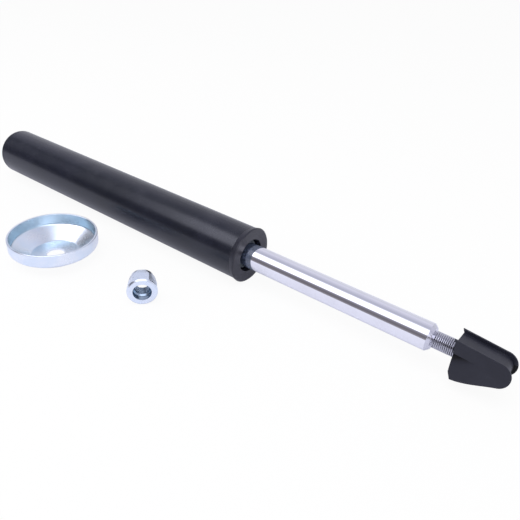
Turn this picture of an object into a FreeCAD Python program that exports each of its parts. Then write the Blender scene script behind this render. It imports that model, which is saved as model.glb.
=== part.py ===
import FreeCAD
import Part
import math
import os

# Twin-tube gas insert for a suspension strut, lying on a flat surface, with its loose dished washer and
# flanged nut beside it. Millimetres. X runs along the insert from the outer face of its base to the rod,
# Z is up, and the origin is the centre of the base's outer face. Pieces are named as on a bench.

# Clearances
SEAT = 0.05          # round piece seated in or on another one of the same group
RUN = 0.05           # shaft, plate or band that moves in its guide
STOP = 0.3           # faces of moving pieces that meet only at the end of a stroke

# Outer tube, base and closure
TUBE_D = 44.3
TUBE_WALL = 1.75
TUBE_END_EDGE = 0.25
BODY_LENGTH = 314.5
BASE_WALL = 3.5
BASE_SHOULDER = 5.0
BASE_CORNER = 3.2
BASE_SKIRT = 9.0
BASE_SKIRT_WALL = 2.0
RING_PROUD = 0.95
RING_FLANGE = 5.0
RING_SPIGOT = 4.0
RING_HOLE_D = 27.3
RING_CHAMFER = 0.9
RING_LIP = 0.5

# Rod and its stud
ROD_D = 20.0
ROD_OUT = 150.0
ROD_EDGE = 1.2
NECK_D = 10.2
NECK_LENGTH = 2.4
STUD_D = 12.0
STUD_THREAD = 28.0
STUD_EDGE = 0.8
DOG_D = 9.4
DOG_LENGTH = 7.5
TAIL_D = 12.0
STROKE = 140.0

# Seal stack and rod guide
CASE_T = 1.0
CASE_GAP = 0.4
SEAL_T = 5.0
COLLAR_WALL = 2.25
COLLAR_TIP = 1.35
COLLAR_LENGTH = 6.0
LIP_WALL = 2.35
LIP_LENGTH = 3.6
GARTER_WIRE_D = 1.5
GUIDE_HEAD = 11.0
GUIDE_SPIGOT = 9.0
GUIDE_RECESS = 4.8
GUIDE_RECESS_SPACE = 1.0
GUIDE_CHANNEL = 1.0
GUIDE_CHANNEL_EDGE = 0.4
DRAIN_D = 1.8
DRAIN_COUNT = 3
BUSH_WALL = 1.45
BUSH_INSET = 0.6
O_RING_D = 1.4
O_GROOVE = 1.9
O_GROOVE_IN = 6.0

# Pressure tube and base valve
PRESSURE_BORE_D = 30.0
PRESSURE_WALL = 1.5
FOOT_H = 6.0
FOOT_WALL = 5.0
FOOT_SLOT = 8.0
FOOT_COUNT = 4
VALVE_FLANGE = 3.5
VALVE_SPIGOT = 7.0
PLATE_T = 0.6
PLATE_LIFT = 0.8
PLATE_LIP = 1.0
SPRING_T = 0.3
SPRING_REACH = 2.3
SPRING_ARM = 2.6
SPRING_ARMS = 6
DISC_T = 0.25
DISC_STEP = 0.8
DISC_COUNT = 3
BASE_LIP_WALL = 1.3
BASE_PLATE_LAP = 0.8
BASE_DISC_LAP = 1.2
FILL_D = 2.8
FILL_COUNT = 8
BLEED_D = 2.0
BLEED_CIRCLE_D = 13.2
BLEED_COUNT = 6
BOLT_D = 6.0
BOLT_COLLAR_D = 8.5
BOLT_HEAD_D = 12.0
BOLT_HEAD = 2.4
BOLT_END = 1.0
BASE_NUT_AF = 10.0
BASE_NUT_H = 3.0

# Piston group on the rod's tail
STOP_RING_GAP = 1.0
STOP_RING_T = 4.0
BUMPER_GAP = 1.3
BUMPER_T = 6.0
TAIL_DROP = 40.0
LIFT_WASHER_T = 2.0
PISTON_GAP = 0.3
PISTON_LENGTH = 16.0
PISTON_LIP_WALL = 1.65
PISTON_PLATE_LAP = 0.5
PISTON_DISC_LAP = 0.4
SPACER_WALL = 1.1
BAND_WIDTH = 10.0
BAND_T = 1.3
BAND_SPLIT = 0.8
INTAKE_D = 3.0
INTAKE_COUNT = 6
REBOUND_D = 1.6
REBOUND_COUNT = 6
SUPPORT_D = 17.0
SUPPORT_T = 2.0
PISTON_NUT_AF = 17.0
PISTON_NUT_H = 7.0
TAIL_END = 1.5

# Moulded cap on the stud, which leads a packing strap over the end of the rod
CAP_START = 19.5
CAP_TURN = -9.9
CAP_TONGUE = 28.5
CAP_PLATE_OUT = 10.45
CAP_PLATE_T = 1.5
CAP_PLATE_EDGE = 0.45
CAP_RIDGE = 11.4
CAP_RIDGE_NOSE = 8.8
CAP_FLOOR = 8.9
CAP_FLOOR_NOSE = 6.3
CAP_TOP_HORN = 1.3
CAP_SKIRT = 17.1
CAP_SKIRT_BACK = 3.8
CAP_WAIST = 14.9
CAP_WAIST_X = 14.1
CAP_RAKE = 3.8
CAP_SCOOP_LENGTH = 19.5
CAP_SCOOP_TOP = 1.9
CAP_SCOOP_TIP = 0.5
CAP_SCOOP_LOW = -11.0
CAP_SCOOP_LOW_TIP = -4.9
CAP_SCOOP_DEPTH = 2.6
CAP_SLACK = 0.9

# Dished washer
WASHER_D = 71.9
WASHER_H = 20.4
WASHER_T = 1.7
WASHER_KNEE_H = 10.9
WASHER_FLOOR_D = 40.2
WASHER_HOLE_D = 14.8
WASHER_BEND = 2.2
WASHER_X = 168.4
WASHER_Y = -80.5

# Flanged nut
NUT_AF = 19.0
NUT_LENGTH = 16.4
NUT_CROWN_D = 19.6
NUT_CROWN = 5.0
NUT_FLANGE_D = 23.1
NUT_FLANGE_EDGE = 1.0
NUT_FLANGE_LAND = 1.8
NUT_FLANGE_CONE = 1.6
NUT_FLANGE_CONE_D = 20.4
NUT_MOUTH_D = 14.1
NUT_MOUTH = 5.0
NUT_BORE_D = 10.9
NUT_BACK_D = 14.4
NUT_BACK = 2.6
NUT_X = 275.0
NUT_Y = -80.5
NUT_HEADING = -43.3

# Radii that follow from the sizes above
TUBE_R = TUBE_D / 2
BORE_R = TUBE_R - TUBE_WALL
SEATED_R = BORE_R - SEAT
RING_R = TUBE_R + RING_PROUD
FLOOR_Z = -RING_R
ROD_R = ROD_D / 2
ROD_FIT_R = ROD_R + RUN
ROD_SEAT_D = ROD_D + 2 * SEAT
TAIL_SEAT_D = TAIL_D + 2 * SEAT
BOLT_SEAT_D = BOLT_D + 2 * SEAT
COLLAR_R = ROD_FIT_R + COLLAR_WALL
LIP_R = ROD_FIT_R + LIP_WALL
BUSH_R = ROD_FIT_R + BUSH_WALL
PRESSURE_R = PRESSURE_BORE_D / 2
PRESSURE_OUT_R = PRESSURE_R + PRESSURE_WALL
BASE_PLATE_R = PRESSURE_R - SEAT - BASE_LIP_WALL - RUN
FILL_R = BASE_PLATE_R - BASE_PLATE_LAP - FILL_D / 2
BASE_PLATE_IN_R = FILL_R - FILL_D / 2 - BASE_PLATE_LAP
BASE_DISC_R = BLEED_CIRCLE_D / 2 + BLEED_D / 2 + BASE_DISC_LAP
PISTON_R = PRESSURE_R - PISTON_GAP
PISTON_PLATE_R = PISTON_R - PISTON_LIP_WALL - RUN
INTAKE_R = PISTON_PLATE_R - PISTON_PLATE_LAP - INTAKE_D / 2
PISTON_PLATE_IN_R = INTAKE_R - INTAKE_D / 2 - PISTON_PLATE_LAP
SPACER_R = TAIL_SEAT_D / 2 + SPACER_WALL
REBOUND_R = SPACER_R + SEAT + REBOUND_D / 2
PISTON_DISC_R = REBOUND_R + REBOUND_D / 2 + PISTON_DISC_LAP

# Stations along the insert that follow from the sizes above
VALVE_UNDER = BASE_WALL + FOOT_H
VALVE_TOP = VALVE_UNDER + VALVE_FLANGE
VALVE_FACE = VALVE_TOP + VALVE_SPIGOT
TUBE_END = BODY_LENGTH - RING_FLANGE
SPIGOT_END = TUBE_END - RING_SPIGOT
CASE_END = SPIGOT_END - CASE_T
SEAL_END = CASE_END - SEAL_T
GUIDE_SEAT = SEAL_END - GUIDE_HEAD
GUIDE_END = GUIDE_SEAT - GUIDE_SPIGOT
BUSH_TOP = SEAL_END - GUIDE_RECESS
BUMPER_TOP = GUIDE_END - STOP
STOP_TOP = BUMPER_TOP - BUMPER_T
TAIL_TOP = STOP_TOP - STOP_RING_T - TAIL_DROP
PLATE_ROOM = PLATE_T + PLATE_LIFT + 2 * RUN
SPACER_TOP = TAIL_TOP - LIFT_WASHER_T
PISTON_TOP = SPACER_TOP - SPRING_T - PLATE_ROOM
PISTON_UNDER = PISTON_TOP - PISTON_LENGTH
REBOUND_END = PISTON_UNDER - DISC_T * DISC_COUNT
SUPPORT_END = REBOUND_END - SUPPORT_T
PISTON_NUT_END = SUPPORT_END - PISTON_NUT_H
SHOULDER = BODY_LENGTH + ROD_OUT
THREAD_START = SHOULDER + NECK_LENGTH
THREAD_END = THREAD_START + STUD_THREAD
DOG_END = THREAD_END + DOG_LENGTH


def vec(x, y=0.0, z=0.0):
    return FreeCAD.Vector(x, y, z)


def turned(points):
    """A solid of revolution about X from (x, radius) corners."""
    wire = Part.makePolygon([vec(x, 0, r) for x, r in points + points[:1]])
    return Part.Face(wire).revolve(vec(0), vec(1), 360)


def ring(x0, x1, inner_d, outer_d):
    """A plain ring about the axis; an inner diameter of 0 gives a disc."""
    solid = Part.makeCylinder(outer_d / 2, x1 - x0, vec(x0), vec(1))
    if inner_d > 0:
        solid = solid.cut(Part.makeCylinder(inner_d / 2, x1 - x0, vec(x0), vec(1)))
    return solid


def rims(solid, x, radius):
    """The circular edges about X at one station and radius."""
    near = 0.01
    found = []
    for edge in solid.Edges:
        curve = edge.Curve
        if not isinstance(curve, Part.Circle):
            continue
        if abs(curve.Center.x - x) < near and abs(curve.Radius - radius) < near:
            found.append(edge)
    return found


def around(solid, count, start=0.0):
    """Copies of a solid spread evenly about X."""
    copies = []
    for i in range(count):
        copy = solid.copy()
        copy.rotate(vec(0), vec(1), start + 360.0 * i / count)
        copies.append(copy)
    return copies


def holes(x0, x1, hole_d, circle_r, count, start=0.0):
    """Round passages along X on a circle, as tools to cut with."""
    tool = Part.makeCylinder(hole_d / 2, x1 - x0, vec(x0, 0, circle_r), vec(1))
    return around(tool, count, start)


def hexagon(x0, x1, across_flats):
    """A hexagonal bar along X with two of its flats level."""
    corner = across_flats / math.sqrt(3)
    turn = [math.radians(60 * i) for i in range(7)]
    wire = Part.makePolygon([vec(x0, corner * math.cos(a), corner * math.sin(a)) for a in turn])
    return Part.Face(wire).extrude(vec(x1 - x0))


def extruded(edges, y0, y1):
    """A closed outline in the X-Z plane, thickened from y0 to y1."""
    face = Part.Face(Part.Wire(Part.__sortEdges__(edges)))
    face.translate(vec(0, y0))
    return face.extrude(vec(0, y1 - y0))


def outer_tube():
    solid = ring(BASE_SHOULDER, TUBE_END, 2 * BORE_R, TUBE_D)
    return solid.makeChamfer(TUBE_END_EDGE, rims(solid, BASE_SHOULDER, TUBE_R))


def base_cap():
    inner = SEATED_R - BASE_SKIRT_WALL
    end = BASE_SHOULDER + BASE_SKIRT
    solid = turned([
        (0, 0), (0, TUBE_R), (BASE_SHOULDER, TUBE_R), (BASE_SHOULDER, SEATED_R),
        (end, SEATED_R), (end, inner), (BASE_WALL, inner), (BASE_WALL, 0),
    ])
    return solid.makeFillet(BASE_CORNER, rims(solid, 0, TUBE_R))


def closure_ring():
    hole = RING_HOLE_D / 2
    solid = turned([
        (SPIGOT_END, hole), (SPIGOT_END, SEATED_R), (TUBE_END, SEATED_R),
        (TUBE_END, RING_R), (BODY_LENGTH, RING_R), (BODY_LENGTH, hole),
    ])
    solid = solid.makeChamfer(RING_CHAMFER, rims(solid, BODY_LENGTH, RING_R))
    solid = solid.makeFillet(RING_LIP, rims(solid, TUBE_END, RING_R))
    return solid.makeFillet(RING_LIP, rims(solid, BODY_LENGTH, hole))


def seal_case():
    return ring(CASE_END, SPIGOT_END, 2 * (COLLAR_R + CASE_GAP), 2 * SEATED_R)


def oil_seal():
    tip = CASE_END + COLLAR_LENGTH
    lip_end = SEAL_END - LIP_LENGTH
    return turned([
        (lip_end, ROD_FIT_R), (lip_end, LIP_R), (SEAL_END, LIP_R), (SEAL_END, SEATED_R),
        (CASE_END, SEATED_R), (CASE_END, COLLAR_R), (tip - CASE_T, COLLAR_R),
        (tip, ROD_FIT_R + COLLAR_TIP), (tip, ROD_FIT_R),
    ])


def garter_spring():
    wire = GARTER_WIRE_D / 2
    return Part.makeTorus(LIP_R + wire + SEAT, wire, vec(SEAL_END - LIP_LENGTH / 2), vec(1))


def rod_guide():
    spigot = PRESSURE_R - SEAT
    bush = BUSH_R + SEAT
    recess = LIP_R + SEAT + GARTER_WIRE_D + GUIDE_RECESS_SPACE
    drain = PRESSURE_OUT_R + 2 * SEAT + DRAIN_D / 2
    channel = drain + DRAIN_D / 2 + GUIDE_CHANNEL_EDGE
    groove = SEATED_R - O_RING_D - 2 * SEAT
    groove_low = SEAL_END - O_GROOVE_IN - O_GROOVE / 2
    groove_high = groove_low + O_GROOVE
    solid = turned([
        (GUIDE_END, bush), (GUIDE_END, spigot), (GUIDE_SEAT, spigot), (GUIDE_SEAT, SEATED_R),
        (groove_low, SEATED_R), (groove_low, groove), (groove_high, groove), (groove_high, SEATED_R),
        (SEAL_END, SEATED_R), (SEAL_END, channel), (SEAL_END - GUIDE_CHANNEL, channel),
        (SEAL_END - GUIDE_CHANNEL, recess), (BUSH_TOP, recess), (BUSH_TOP, bush),
    ])
    return solid.cut(holes(GUIDE_SEAT, SEAL_END, DRAIN_D, drain, DRAIN_COUNT))


def guide_bushing():
    return ring(GUIDE_END + BUSH_INSET, BUSH_TOP, 2 * ROD_FIT_R, 2 * BUSH_R)


def guide_o_ring():
    section = O_RING_D / 2
    return Part.makeTorus(SEATED_R - section, section, vec(SEAL_END - O_GROOVE_IN), vec(1))


def pressure_tube():
    return ring(VALVE_TOP, GUIDE_SEAT, 2 * PRESSURE_R, 2 * PRESSURE_OUT_R)


def base_valve_body():
    spigot = PRESSURE_R - SEAT
    foot = PRESSURE_OUT_R - FOOT_WALL
    bolt = BOLT_SEAT_D / 2
    lip = BASE_PLATE_R + RUN
    lip_top = VALVE_FACE + PLATE_LIP
    solid = turned([
        (BASE_WALL, foot), (BASE_WALL, PRESSURE_OUT_R), (VALVE_TOP, PRESSURE_OUT_R), (VALVE_TOP, spigot),
        (lip_top, spigot), (lip_top, lip), (VALVE_FACE, lip), (VALVE_FACE, bolt),
        (VALVE_UNDER, bolt), (VALVE_UNDER, foot),
    ])
    slot = Part.makeBox(FOOT_H, FOOT_SLOT, PRESSURE_OUT_R + 1, vec(BASE_WALL, -FOOT_SLOT / 2, 0))
    tools = around(slot, FOOT_COUNT)
    tools += holes(VALVE_UNDER, VALVE_FACE, FILL_D, FILL_R, FILL_COUNT)
    tools += holes(VALVE_UNDER, VALVE_FACE, BLEED_D, BLEED_CIRCLE_D / 2, BLEED_COUNT)
    return solid.cut(tools)


def check_plate(face, inner_r, outer_r):
    """The ring-shaped plate that shuts the passages in a valve face."""
    return ring(face + RUN, face + RUN + PLATE_T, 2 * inner_r, 2 * outer_r)


def star_spring(face, inner_r, outer_r):
    """A dished star washer: its hub is held above the plate, and its arms reach down to it."""
    low = face + PLATE_T + 2 * RUN
    high = low + PLATE_LIFT
    hub = (inner_r + outer_r) / 2
    dish = turned([
        (high, inner_r), (high + SPRING_T, inner_r), (high + SPRING_T, hub),
        (low + SPRING_T, outer_r), (low, outer_r), (high, hub),
    ])
    room = ring(low, high + SPRING_T, 2 * hub, 2 * outer_r + SPRING_REACH)
    length = outer_r + SPRING_REACH
    arm = Part.makeBox(PLATE_LIFT + SPRING_T, SPRING_ARM, length, vec(low, -SPRING_ARM / 2, 0))
    gaps = room.cut(around(arm, SPRING_ARMS))
    return dish.cut(gaps)


def disc_stack(face, bore_d, outer_r):
    """Thin spring discs under a valve face, each smaller than the last."""
    discs = []
    for i in range(DISC_COUNT):
        low = face - DISC_T * (i + 1)
        discs.append(ring(low, low + DISC_T, bore_d, 2 * (outer_r - DISC_STEP * i)))
    return Part.makeCompound(discs)


def base_check_plate():
    return check_plate(VALVE_FACE, BASE_PLATE_IN_R, BASE_PLATE_R)


def base_check_spring():
    return star_spring(VALVE_FACE, BOLT_COLLAR_D / 2 + SEAT, BASE_PLATE_IN_R + SPRING_REACH)


def base_valve_discs():
    return disc_stack(VALVE_UNDER, BOLT_SEAT_D, BASE_DISC_R)


def base_valve_bolt():
    head_x = VALVE_FACE + PLATE_ROOM + SPRING_T
    end = VALVE_UNDER - DISC_T * DISC_COUNT - BASE_NUT_H - BOLT_END
    shank, head, collar = BOLT_D / 2, BOLT_HEAD_D / 2, BOLT_COLLAR_D / 2
    solid = turned([
        (end, 0), (end, shank), (VALVE_FACE, shank), (VALVE_FACE, collar),
        (head_x, collar), (head_x, head), (head_x + BOLT_HEAD, head), (head_x + BOLT_HEAD, 0),
    ])
    return solid.makeFillet(BOLT_HEAD / 3, rims(solid, head_x + BOLT_HEAD, head))


def base_valve_nut():
    top = VALVE_UNDER - DISC_T * DISC_COUNT
    bar = hexagon(top - BASE_NUT_H, top, BASE_NUT_AF)
    return bar.cut(ring(top - BASE_NUT_H, top, 0, BOLT_SEAT_D))


def piston_rod():
    tail, neck, stud, dog = TAIL_D / 2, NECK_D / 2, STUD_D / 2, DOG_D / 2
    end = PISTON_NUT_END - TAIL_END
    return turned([
        (end, 0), (end, tail - STUD_EDGE), (end + STUD_EDGE, tail), (TAIL_TOP, tail), (TAIL_TOP, ROD_R),
        (SHOULDER - ROD_EDGE, ROD_R), (SHOULDER, ROD_R - ROD_EDGE), (SHOULDER, neck),
        (THREAD_START, neck), (THREAD_START, stud - STUD_EDGE), (THREAD_START + STUD_EDGE, stud),
        (THREAD_END - STUD_EDGE, stud), (THREAD_END, stud - STUD_EDGE), (THREAD_END, dog),
        (DOG_END - STUD_EDGE, dog), (DOG_END, dog - STUD_EDGE), (DOG_END, 0),
    ])


def rebound_stop():
    outer = PRESSURE_R - STOP_RING_GAP
    solid = ring(STOP_TOP - STOP_RING_T, STOP_TOP, ROD_SEAT_D, 2 * outer)
    return solid.makeChamfer(STOP_RING_T / 4, rims(solid, STOP_TOP - STOP_RING_T, outer))


def rebound_bumper():
    outer = PRESSURE_R - BUMPER_GAP
    solid = ring(STOP_TOP, BUMPER_TOP, ROD_SEAT_D, 2 * outer)
    return solid.makeFillet(BUMPER_T / 4, rims(solid, BUMPER_TOP, outer))


def lift_washer():
    return ring(SPACER_TOP, TAIL_TOP, TAIL_SEAT_D, 2 * (PISTON_PLATE_R - PISTON_PLATE_LAP))


def piston_spacer():
    return ring(PISTON_TOP, SPACER_TOP, TAIL_SEAT_D, 2 * SPACER_R)


def piston_check_plate():
    return check_plate(PISTON_TOP, PISTON_PLATE_IN_R, PISTON_PLATE_R)


def piston_check_spring():
    return star_spring(PISTON_TOP, SPACER_R + SEAT, PISTON_PLATE_IN_R + SPRING_REACH)


def piston():
    groove = PRESSURE_R - RUN - BAND_T - SEAT
    land = (PISTON_LENGTH - BAND_WIDTH) / 2
    low, high = PISTON_UNDER + land - SEAT, PISTON_TOP - land + SEAT
    bore = TAIL_SEAT_D / 2
    lip = PISTON_PLATE_R + RUN
    lip_top = PISTON_TOP + PLATE_LIP
    solid = turned([
        (PISTON_UNDER, bore), (PISTON_UNDER, PISTON_R), (low, PISTON_R), (low, groove),
        (high, groove), (high, PISTON_R), (lip_top, PISTON_R), (lip_top, lip),
        (PISTON_TOP, lip), (PISTON_TOP, bore),
    ])
    intake = holes(PISTON_UNDER, PISTON_TOP, INTAKE_D, INTAKE_R, INTAKE_COUNT)
    rebound = holes(PISTON_UNDER, PISTON_TOP, REBOUND_D, REBOUND_R, REBOUND_COUNT, 180.0 / REBOUND_COUNT)
    return solid.cut(intake + rebound)


def piston_band():
    land = (PISTON_LENGTH - BAND_WIDTH) / 2
    outer = PRESSURE_R - RUN
    solid = ring(PISTON_UNDER + land, PISTON_TOP - land, 2 * (outer - BAND_T), 2 * outer)
    split = Part.makeBox(PISTON_LENGTH, BAND_SPLIT, PRESSURE_R, vec(PISTON_UNDER, -BAND_SPLIT / 2, 0))
    return solid.cut(split)


def rebound_valve_discs():
    return disc_stack(PISTON_UNDER, TAIL_SEAT_D, PISTON_DISC_R)


def valve_support():
    return ring(SUPPORT_END, REBOUND_END, TAIL_SEAT_D, SUPPORT_D)


def piston_nut():
    bar = hexagon(PISTON_NUT_END, SUPPORT_END, PISTON_NUT_AF)
    return bar.cut(ring(PISTON_NUT_END, SUPPORT_END, 0, TAIL_SEAT_D))


def cap_plate(side):
    """One of the cap's two side plates, its top edge straight and its lower edge swept out to a skirt."""
    top = vec(-CAP_TOP_HORN, 0, CAP_RIDGE)
    top_nose = vec(CAP_TONGUE, 0, CAP_RIDGE_NOSE)
    tip = vec(CAP_TONGUE + CAP_RIDGE_NOSE, 0, 0)
    skirt = vec(CAP_SKIRT_BACK, 0, -CAP_SKIRT)
    waist = vec(CAP_WAIST_X, 0, -CAP_WAIST)
    low_nose = tangent_point(CAP_TONGUE, CAP_RIDGE_NOSE, waist)
    heel = vec(0, 0, -CAP_FLOOR)
    toe = vec(0, 0, CAP_FLOOR)
    sweep = Part.BSplineCurve()
    middle = (low_nose + waist) * 0.5
    sweep.interpolate([low_nose, middle, waist, skirt])
    edges = [
        Part.makeLine(top, top_nose), Part.Arc(top_nose, tip, low_nose).toShape(), sweep.toShape(),
        Part.makeLine(skirt, heel), Part.makeLine(heel, toe), Part.makeLine(toe, top),
    ]
    inner = CAP_PLATE_OUT - CAP_PLATE_T
    plate = extruded(edges, side * inner, side * CAP_PLATE_OUT)
    run = [e for e in plate.Edges if on_plate_rim(e, side)]
    return plate.makeFillet(CAP_PLATE_EDGE, run)


def tangent_point(x, radius, point):
    """Where a line from a point below touches the nose circle round (x, 0)."""
    away = point - vec(x)
    turn = math.atan2(away.z, away.x) + math.acos(radius / away.Length)
    return vec(x + radius * math.cos(turn), 0, radius * math.sin(turn))


def cap_back_cut():
    """The space behind the cap's back face, which leans under the channel floor; the two horns stay."""
    length, width = CAP_FLOOR + CAP_SKIRT, 2 * CAP_PLATE_OUT + 2
    block = Part.makeBox(CAP_SKIRT, width, 2 * length, vec(-CAP_SKIRT, -width / 2, CAP_FLOOR - 2 * length))
    block.rotate(vec(0, 0, CAP_FLOOR), vec(0, 1), -CAP_RAKE)
    return block


def on_plate_rim(edge, side):
    """Whether an edge follows the free rim of a side plate, on its outer or inner face."""
    box = edge.BoundBox
    flat = box.YLength < 0.01
    free = box.XMax > CAP_TONGUE - 1 or box.ZMax < -CAP_FLOOR
    return flat and free and box.XLength > 1.0


def cap_core():
    """The tongue between the plates, whose faces are the two strap channels."""
    top, top_nose = vec(0, 0, CAP_FLOOR), vec(CAP_TONGUE, 0, CAP_FLOOR_NOSE)
    tip = vec(CAP_TONGUE + CAP_FLOOR_NOSE, 0, 0)
    low, low_nose = vec(0, 0, -CAP_FLOOR), vec(CAP_TONGUE, 0, -CAP_FLOOR_NOSE)
    edges = [
        Part.makeLine(top, top_nose), Part.Arc(top_nose, tip, low_nose).toShape(),
        Part.makeLine(low_nose, low), Part.makeLine(low, top),
    ]
    reach = CAP_PLATE_OUT - CAP_PLATE_T / 2
    return extruded(edges, -reach, reach)


def cap_scoop(side):
    """The wedge pressed into a side plate: a step along its top, fading out below and towards the nose."""
    face = side * CAP_PLATE_OUT
    proud = face + side
    deep = face - side * CAP_SCOOP_DEPTH
    mouth = -1.0
    top, low = vec(mouth, deep, CAP_SCOOP_TOP), vec(mouth, face, CAP_SCOOP_LOW)
    tip, low_tip = vec(CAP_SCOOP_LENGTH, face, CAP_SCOOP_TIP), vec(CAP_SCOOP_LENGTH, face, CAP_SCOOP_LOW_TIP)
    top_out, low_out = vec(mouth, proud, CAP_SCOOP_TOP), vec(mouth, proud, CAP_SCOOP_LOW)
    tip_out = vec(CAP_SCOOP_LENGTH, proud, CAP_SCOOP_TIP)
    low_tip_out = vec(CAP_SCOOP_LENGTH, proud, CAP_SCOOP_LOW_TIP)
    faces = (
         (top, low, tip), (low, low_tip, tip), (top, top_out, low_out, low),
         (tip, low_tip, low_tip_out, tip_out),
        (top_out, tip_out, low_tip_out, low_out), (top, tip, tip_out), (top, tip_out, top_out),
        (low, low_out, low_tip_out, low_tip),
    )
    shell = Part.makeShell([Part.Face(Part.makePolygon(list(f) + [f[0]])) for f in faces])
    solid = Part.makeSolid(shell)
    if solid.Volume < 0:
        solid.reverse()
    return solid


def strap_cap():
    socket_end = THREAD_END + STOP - (SHOULDER + CAP_START)
    grip_end = DOG_END + STOP - (SHOULDER + CAP_START)
    body = cap_core().fuse([cap_plate(-1), cap_plate(1)])
    tools = [
        Part.makeCylinder(STUD_D / 2 + CAP_SLACK, socket_end, vec(0), vec(1)),
        Part.makeCylinder(DOG_D / 2 + RUN, grip_end, vec(0), vec(1)),
        cap_scoop(1), cap_scoop(-1), cap_back_cut(),
    ]
    solid = body.cut(tools).removeSplitter()
    solid.rotate(vec(0), vec(1), CAP_TURN)
    solid.translate(vec(SHOULDER + CAP_START))
    return solid


def dished_washer():
    """Pressed cup of one sheet: upright rim, sloping floor and flat centre with a hole."""
    sheet, outer, flat = WASHER_T, WASHER_D / 2, WASHER_FLOOR_D / 2
    inner, knee, hole = outer - sheet, WASHER_KNEE_H, WASHER_HOLE_D / 2
    slope = math.atan2(knee - sheet, inner - flat)
    shift = sheet * math.tan(slope / 2)
    under = (outer - flat - shift) * math.tan(slope)
    profile = [
        (hole, 0), (flat + shift, 0), (outer, under), (outer, WASHER_H),
        (inner, WASHER_H), (inner, knee), (flat, sheet), (hole, sheet),
    ]
    wire = Part.makePolygon([vec(r, 0, z) for r, z in profile + profile[:1]])
    solid = Part.Face(wire).revolve(vec(0), vec(0, 0, 1), 360)
    bends = (
        (outer, under, WASHER_BEND + sheet), (inner, knee, WASHER_BEND),
        (flat + shift, 0, WASHER_BEND + sheet), (flat, sheet, WASHER_BEND),
        (outer, WASHER_H, sheet / 3), (inner, WASHER_H, sheet / 3),
    )
    for radius, height, size in bends:
        edge = [e for e in solid.Edges if is_level_circle(e, radius, height)]
        solid = solid.makeFillet(size, edge)
    solid.translate(vec(WASHER_X, WASHER_Y, FLOOR_Z))
    return solid


def is_level_circle(edge, radius, height):
    curve = edge.Curve
    if not isinstance(curve, Part.Circle):
        return False
    return abs(curve.Radius - radius) < 0.01 and abs(curve.Center.z - height) < 0.01


def nut_blank():
    """The nut along X with its flange at the origin end, facing +X."""
    flange, land = NUT_FLANGE_D / 2, NUT_FLANGE_LAND
    corner = NUT_AF / math.sqrt(3)
    back = -NUT_LENGTH
    bar = hexagon(back, -land / 2, NUT_AF)
    shape = turned([
        (back, 0), (back, NUT_CROWN_D / 2), (back + NUT_CROWN, corner + SEAT), (-land / 2, corner + SEAT),
        (-land / 2, 0),
    ])
    skirt = turned([
        (0, 0), (0, flange - NUT_FLANGE_EDGE), (-NUT_FLANGE_EDGE, flange), (-land, flange),
        (-land - NUT_FLANGE_CONE, NUT_FLANGE_CONE_D / 2), (-land - NUT_FLANGE_CONE, 0),
    ])
    return bar.common(shape).fuse(skirt).removeSplitter()


def nut_bore():
    mouth, bore, rear = NUT_MOUTH_D / 2, NUT_BORE_D / 2, NUT_BACK_D / 2
    slope = mouth - bore
    return turned([
        (0, 0), (0, mouth), (-NUT_MOUTH, mouth), (-NUT_MOUTH - slope, bore),
        (NUT_BACK - NUT_LENGTH, bore), (-NUT_LENGTH, rear), (-NUT_LENGTH, 0),
    ])


def flange_nut():
    solid = nut_blank().cut(nut_bore())
    solid.rotate(vec(0), vec(0, 0, 1), NUT_HEADING)
    solid.translate(vec(NUT_X, NUT_Y, FLOOR_Z + NUT_FLANGE_D / 2))
    return solid


NODES = (
    outer_tube, base_cap, closure_ring, seal_case, oil_seal, garter_spring, rod_guide, guide_bushing,
    guide_o_ring, pressure_tube, base_valve_body, base_check_plate, base_check_spring, base_valve_discs,
    base_valve_bolt, base_valve_nut, piston_rod, rebound_stop, rebound_bumper, lift_washer, piston_spacer,
    piston_check_plate, piston_check_spring, piston, piston_band, rebound_valve_discs, valve_support,
    piston_nut, strap_cap, dished_washer, flange_nut,
)


def build():
    os.makedirs("parts", exist_ok=True)
    for make in NODES:
        shape = make()
        shape.exportStep("parts/" + make.__name__ + ".step")


build()
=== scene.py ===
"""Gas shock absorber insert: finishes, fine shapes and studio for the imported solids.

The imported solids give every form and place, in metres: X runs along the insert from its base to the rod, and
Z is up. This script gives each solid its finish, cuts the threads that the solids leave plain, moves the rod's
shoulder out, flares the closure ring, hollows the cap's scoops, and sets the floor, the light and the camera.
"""
import logging
import math
from dataclasses import dataclass
from enum import Enum
from functools import cache
from typing import Callable, Sequence

import bpy
from mathutils import Matrix, Vector


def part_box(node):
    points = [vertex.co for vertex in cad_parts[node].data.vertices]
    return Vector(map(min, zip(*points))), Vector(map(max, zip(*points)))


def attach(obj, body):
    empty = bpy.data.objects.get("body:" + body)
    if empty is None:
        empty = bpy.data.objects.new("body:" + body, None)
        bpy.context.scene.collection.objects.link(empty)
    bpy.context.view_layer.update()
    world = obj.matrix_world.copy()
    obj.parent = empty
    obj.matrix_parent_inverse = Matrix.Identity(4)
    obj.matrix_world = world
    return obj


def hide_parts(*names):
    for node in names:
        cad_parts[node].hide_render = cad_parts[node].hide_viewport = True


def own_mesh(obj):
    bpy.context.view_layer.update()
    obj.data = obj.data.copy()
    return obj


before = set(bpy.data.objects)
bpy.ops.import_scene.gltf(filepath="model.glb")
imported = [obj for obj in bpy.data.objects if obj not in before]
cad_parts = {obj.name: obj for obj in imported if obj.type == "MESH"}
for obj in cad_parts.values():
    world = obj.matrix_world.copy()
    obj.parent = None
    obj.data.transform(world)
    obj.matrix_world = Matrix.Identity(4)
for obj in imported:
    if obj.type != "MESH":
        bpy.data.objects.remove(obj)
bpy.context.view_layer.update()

LOG = logging.getLogger("gas_shock")

Colour = tuple[float, float, float]
Place = tuple[float, float, float]
Socket = bpy.types.NodeSocket

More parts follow.
